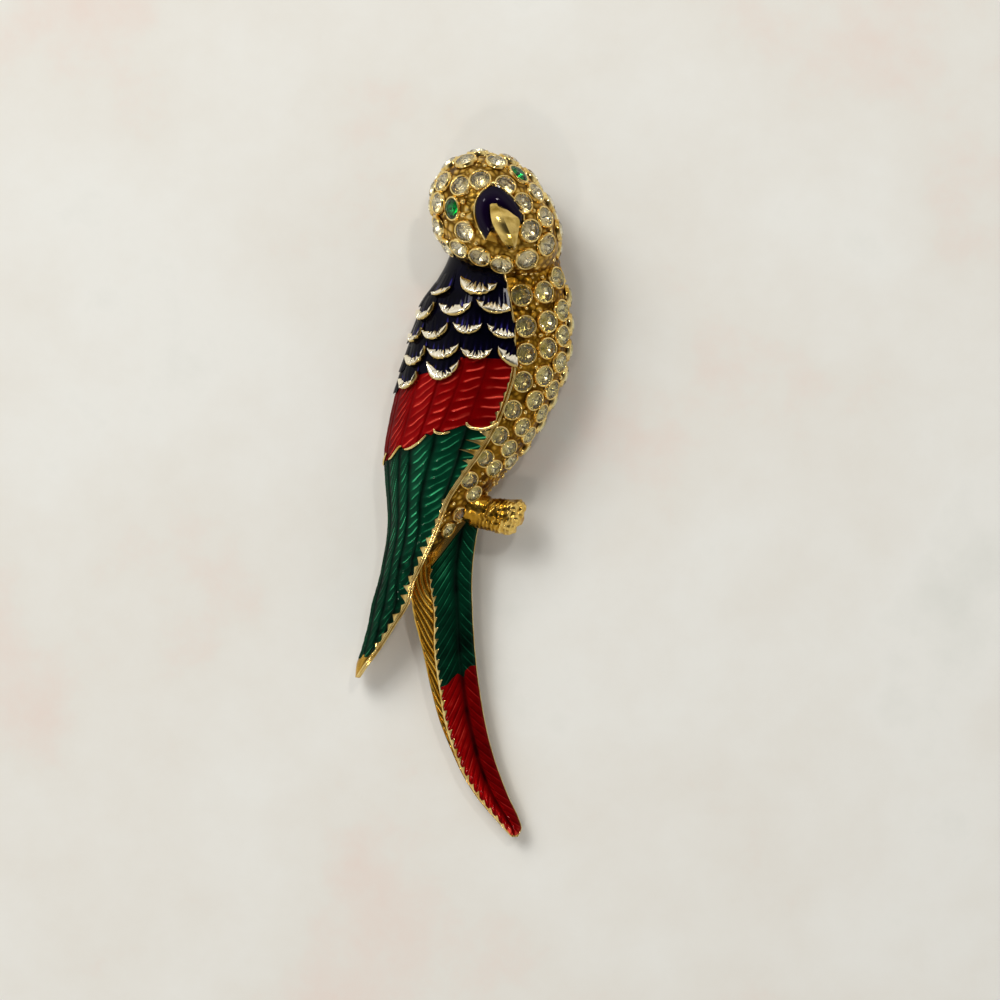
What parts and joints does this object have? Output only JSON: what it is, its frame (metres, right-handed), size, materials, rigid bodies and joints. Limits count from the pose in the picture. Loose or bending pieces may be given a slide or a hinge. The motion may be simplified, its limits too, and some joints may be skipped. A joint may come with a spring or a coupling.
{
  "type": "parakeet brooch",
  "caption": "Figural bird brooch, cast hollow, with a stone-set head and breast, enamelled wing and tail, a hooked beak, a foot and a plain pin on its back.",
  "frame": {"origin": "On the surface that the brooch lies on, under the middle of its length and width.", "axes": "+Y runs along the brooch up to the head, +X to the right seen from the front, and +Z out of its front, away from the surface."},
  "size_m": [0.0279, 0.0878, 0.0171],
  "materials": {
    "gold_plate": "cast and gold plated, bright on the high places and brown in the recesses",
    "clear_stone": "cut and polished, foiled behind",
    "green_stone": "cut and polished, foiled behind",
    "purple_enamel": "smooth and glossy",
    "navy_enamel": "glossy over a ridged ground",
    "red_enamel": "translucent and glossy over a barbed ground",
    "green_enamel": "translucent and glossy over a barbed ground",
    "gold_pin": "plain and gold plated"
  },
  "bodies": {
    "root": {"bird_casting": "gold_plate", "head_stones": "clear_stone", "breast_stones": "clear_stone", "eye_stone_left": "green_stone", "eye_stone_right": "green_stone", "cere_enamel": "purple_enamel", "shoulder_enamel": "navy_enamel", "covert_enamel": "red_enamel", "flight_enamel": "green_enamel", "tail_green_enamel": "green_enamel", "tail_red_enamel": "red_enamel", "pin_fitting": "gold_pin"}
  },
  "joints": []
}
